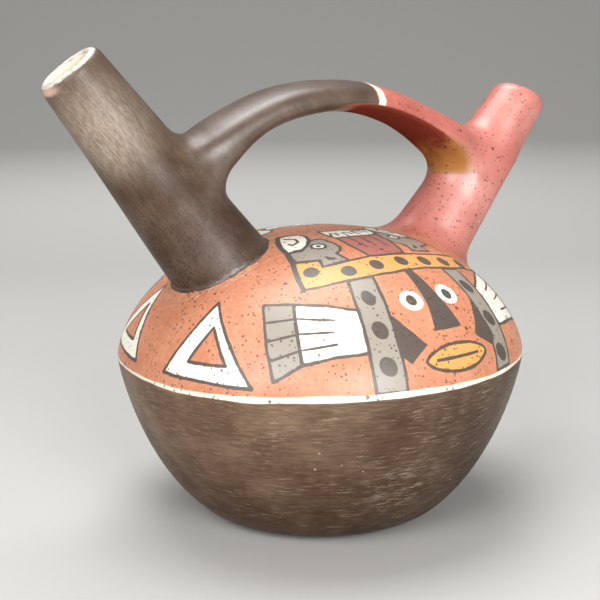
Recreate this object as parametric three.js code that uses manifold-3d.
// Double-spout bridge vessel: a hollow fired-clay pot with two open spouts joined by an arched strap.
// Millimetres, +Z up. The origin is the centre of the underside, the painted front faces -Y,
// the long spout leans to -X and the short one to +X.
import * as THREE from 'three';
import { mergeVertices } from 'three/addons/utils/BufferGeometryUtils.js';
import Module from 'manifold-3d';

const wasm = await Module();
wasm.setup();

// Driving dimensions of the body
const BODY_RADIUS = 80;
const BELT_HEIGHT = 64.3;
const BOWL_DEPTH = 74.1;
const BOWL_TURN = 1.34;
const BOWL_FULLNESS = 2.97;
const SHOULDER_RISE = 47.6;
const SHOULDER_TURN = 1.53;
const SHOULDER_FULLNESS = 2.43;
const BASE_RADIUS = 36;
const TOE_RADIUS = 25;
const TOE_TOP = 6;
const WALL = 5.5;
const FLOOR = 7;

// Driving dimensions of the spouts: seat is the distance from the body axis to where a spout's axis
// leaves the shoulder, lean is its tilt from upright
const LONG_SPOUT = { side: -1, seat: 45.3, lean: 37.2, length: 89.2, baseRadius: 18.6, tipRadius: 11.7 };
const SHORT_SPOUT = { side: 1, seat: 53.1, lean: 39.5, length: 78.0, baseRadius: 16.6, tipRadius: 10.9 };
const SPOUT_WALL = 4.5;
const SPOUT_ROOT = 20;
const FOOT_FLARE = 4;
const FOOT_HEIGHT = 9;
const LIP_ROUND = 2.2;

// Driving dimensions of the strap: it arches from spout to spout, flat below and crowned above, with a
// haunch where it grows out of each spout. Drops are measured half a span from the highest point.
const STRAP_TOP_X = 7.8;
const STRAP_HEIGHT = 160.6;
const STRAP_HALF_SPAN = 50;
const STRAP_LEFT = { reach: 76, drop: 13.7, power: 2.6 };
const STRAP_RIGHT = { reach: 71, drop: 17.5, power: 1.93 };
const STRAP_WIDTH = 31;
const STRAP_END_TAPER = 9;
const STRAP_EDGE = 7.8;
const STRAP_CROWN = 4.4;
const STRAP_HAUNCH = 4.5;
const HAUNCH_START = 33;
const STRAP_SQUARENESS = 3.6;

// Facets
const BODY_SEGMENTS = 40;
const CAVITY_SEGMENTS = 24;
const SPOUT_SEGMENTS = 20;
const BORE_SEGMENTS = 12;
const STRAP_STATIONS = 20;
const STRAP_SIDES = 14;
const WALL_STEPS = 7;
const SHOULDER_STEPS = 8;
const TOE_STEPS = 3;

// Radius of the bowl's wall at a height below the belt
function bowlRadius(height) {
  const depth = (BELT_HEIGHT - height) / BOWL_DEPTH;
  return BODY_RADIUS * (1 - depth ** BOWL_TURN) ** (1 / BOWL_FULLNESS);
}

// Height of the shoulder's surface at a distance from the body axis
function shoulderHeight(radius) {
  const rest = 1 - (radius / BODY_RADIUS) ** SHOULDER_FULLNESS;
  return BELT_HEIGHT + SHOULDER_RISE * rest ** (1 / SHOULDER_TURN);
}

// Outline of the body from the middle of the underside, round the toe and over the shoulder to the top
function bodyOutline() {
  const points = [new THREE.Vector2(0, 0)];
  const toe = new THREE.CubicBezierCurve(
    new THREE.Vector2(BASE_RADIUS, 0),
    new THREE.Vector2(BASE_RADIUS + TOE_RADIUS * 0.3, 0),
    new THREE.Vector2(bowlRadius(TOE_TOP / 2), TOE_TOP / 2),
    new THREE.Vector2(bowlRadius(TOE_TOP), TOE_TOP),
  );
  points.push(...toe.getPoints(TOE_STEPS));
  for (let step = 1; step <= WALL_STEPS; step += 1) {
    const share = Math.sin((step / WALL_STEPS) * Math.PI / 2);
    const height = THREE.MathUtils.lerp(TOE_TOP, BELT_HEIGHT, share);
    points.push(new THREE.Vector2(bowlRadius(height), height));
  }
  for (let step = 1; step <= SHOULDER_STEPS; step += 1) {
    const radius = BODY_RADIUS * Math.cos((step / SHOULDER_STEPS) * Math.PI / 2);
    points.push(new THREE.Vector2(radius, shoulderHeight(radius)));
  }
  points.at(-1).x = 0;
  return points;
}

// The same outline set inwards by the wall, with a thicker floor
function cavityOutline() {
  const outline = bodyOutline();
  const inner = [new THREE.Vector2(0, FLOOR)];
  for (let index = 2; index < outline.length - 1; index += 1) {
    const along = outline[index + 1].clone().sub(outline[index - 1]).normalize();
    const point = outline[index].clone().add(new THREE.Vector2(-along.y, along.x).multiplyScalar(WALL));
    if (point.y > FLOOR + 0.5 && point.x > 0.5) {
      inner.push(point);
    }
  }
  inner.splice(1, 0, new THREE.Vector2(inner[1].x - TOE_RADIUS / 4, FLOOR));
  inner.push(new THREE.Vector2(0, BELT_HEIGHT + SHOULDER_RISE - WALL));
  return inner;
}

// A solid of revolution about Z, its facets turned by a share of one facet so that they miss other solids'
function turned(outline, segments, turn) {
  const start = (turn * 2 * Math.PI) / segments;
  return new THREE.LatheGeometry(outline, segments, start).rotateX(Math.PI / 2);
}

// Outer form of a spout about its own axis: a root inside the body, a flared foot, a taper and a round lip
function spoutOutline(spout) {
  const radiusAt = (height) => THREE.MathUtils.lerp(spout.baseRadius, spout.tipRadius, height / spout.length);
  const points = [new THREE.Vector2(0, -SPOUT_ROOT)];
  points.push(new THREE.Vector2(spout.baseRadius + FOOT_FLARE, -SPOUT_ROOT));
  for (const share of [0, 0.25, 0.5, 0.75, 1]) {
    const height = THREE.MathUtils.lerp(-FOOT_HEIGHT / 2, FOOT_HEIGHT * 1.5, share);
    points.push(new THREE.Vector2(radiusAt(height) + FOOT_FLARE * (1 - share) ** 2, height));
  }
  points.push(new THREE.Vector2(radiusAt(spout.length * 0.6), spout.length * 0.6));
  const lip = new THREE.EllipseCurve(
    spout.tipRadius - LIP_ROUND, spout.length - LIP_ROUND, LIP_ROUND, LIP_ROUND, 0, Math.PI / 2,
  );
  points.push(...lip.getPoints(3));
  points.push(new THREE.Vector2(0, spout.length));
  return points;
}

// The bore of a spout, running from the cavity out past the lip
function boreOutline(spout) {
  const root = spout.baseRadius - SPOUT_WALL;
  const mouth = spout.tipRadius - SPOUT_WALL;
  return [
    new THREE.Vector2(0, -SPOUT_ROOT),
    new THREE.Vector2(root, -SPOUT_ROOT),
    new THREE.Vector2(root, 0),
    new THREE.Vector2(mouth, spout.length - LIP_ROUND),
    new THREE.Vector2(mouth + LIP_ROUND, spout.length + LIP_ROUND),
    new THREE.Vector2(0, spout.length + LIP_ROUND),
  ];
}

// Lean a spout's geometry outwards and seat it on the shoulder
function seated(geometry, spout) {
  const lean = THREE.MathUtils.degToRad(spout.lean) * spout.side;
  return geometry.rotateY(lean).translate(spout.side * spout.seat, 0, shoulderHeight(spout.seat));
}

// Point on the strap's arch at a signed distance from its highest point
function strapCentre(offset) {
  const half = offset < 0 ? STRAP_LEFT : STRAP_RIGHT;
  const fall = half.drop * Math.abs(offset / STRAP_HALF_SPAN) ** half.power;
  return new THREE.Vector2(STRAP_TOP_X + offset, STRAP_HEIGHT - fall);
}

// The strap: a closed cylinder bent along the arch, its round section pressed to a crowned band
function strapGeometry() {
  const geometry = new THREE.CylinderGeometry(1, 1, 1, STRAP_SIDES, STRAP_STATIONS);
  const place = geometry.attributes.position;
  const press = (value) => Math.sign(value) * Math.abs(value) ** (2 / STRAP_SQUARENESS);
  for (let index = 0; index < place.count; index += 1) {
    const share = place.getY(index) + 0.5;
    const offset = THREE.MathUtils.lerp(-STRAP_LEFT.reach, STRAP_RIGHT.reach, share);
    const reach = offset < 0 ? STRAP_LEFT.reach : STRAP_RIGHT.reach;
    const centre = strapCentre(offset);
    const along = strapCentre(offset + 0.5).sub(strapCentre(offset - 0.5)).normalize();
    const spread = press(place.getZ(index));
    const rise = press(place.getX(index));
    const crown = rise > 0 ? STRAP_CROWN * (1 - spread ** 2) : 0;
    const haunch = STRAP_HAUNCH * THREE.MathUtils.smoothstep(Math.abs(offset), HAUNCH_START, reach);
    const taper = STRAP_END_TAPER * THREE.MathUtils.smoothstep(Math.abs(offset), STRAP_HALF_SPAN, reach);
    const lift = rise * (STRAP_EDGE / 2 + crown + haunch);
    const sideways = spread * (STRAP_WIDTH - taper) / 2;
    place.setXYZ(index, centre.x - along.y * lift, sideways, centre.y + along.x * lift);
  }
  return geometry;
}

// Closed geometry to solid, and solid back to geometry
function toSolid(geometry) {
  geometry.deleteAttribute('normal');
  geometry.deleteAttribute('uv');
  const merged = mergeVertices(geometry, 1e-3);
  const corners = merged.index.array;
  const triVerts = [];
  for (let start = 0; start < corners.length; start += 3) {
    const [a, b, c] = corners.slice(start, start + 3);
    if (a !== b && b !== c && c !== a) {
      triVerts.push(a, b, c);
    }
  }
  const vertProperties = new Float32Array(merged.attributes.position.array);
  return new wasm.Manifold(new wasm.Mesh({ numProp: 3, vertProperties, triVerts: new Uint32Array(triVerts) }));
}

function toGeometry(solid) {
  const mesh = solid.getMesh();
  const geometry = new THREE.BufferGeometry();
  geometry.setAttribute('position', new THREE.BufferAttribute(mesh.vertProperties, 3));
  geometry.setIndex(new THREE.BufferAttribute(mesh.triVerts, 1));
  geometry.computeVertexNormals();
  return geometry;
}

// The vessel: body, spouts and strap joined, then hollowed by the cavity and the bores
function vesselGeometry() {
  let outside = toSolid(turned(bodyOutline(), BODY_SEGMENTS, 0.5));
  let inside = toSolid(turned(cavityOutline(), CAVITY_SEGMENTS, 0.5));
  for (const spout of [LONG_SPOUT, SHORT_SPOUT]) {
    outside = outside.add(toSolid(seated(turned(spoutOutline(spout), SPOUT_SEGMENTS, 0.3), spout)));
    inside = inside.add(toSolid(seated(turned(boreOutline(spout), BORE_SEGMENTS, 0.3), spout)));
  }
  outside = outside.add(toSolid(strapGeometry()));
  return toGeometry(outside.subtract(inside));
}

const clay = new THREE.MeshStandardMaterial({ color: 0xa8583a, roughness: 0.5, metalness: 0 });
const vessel = new THREE.Mesh(vesselGeometry(), clay);
vessel.name = 'vessel';

const pot = new THREE.Group();
pot.add(vessel);

export default pot;
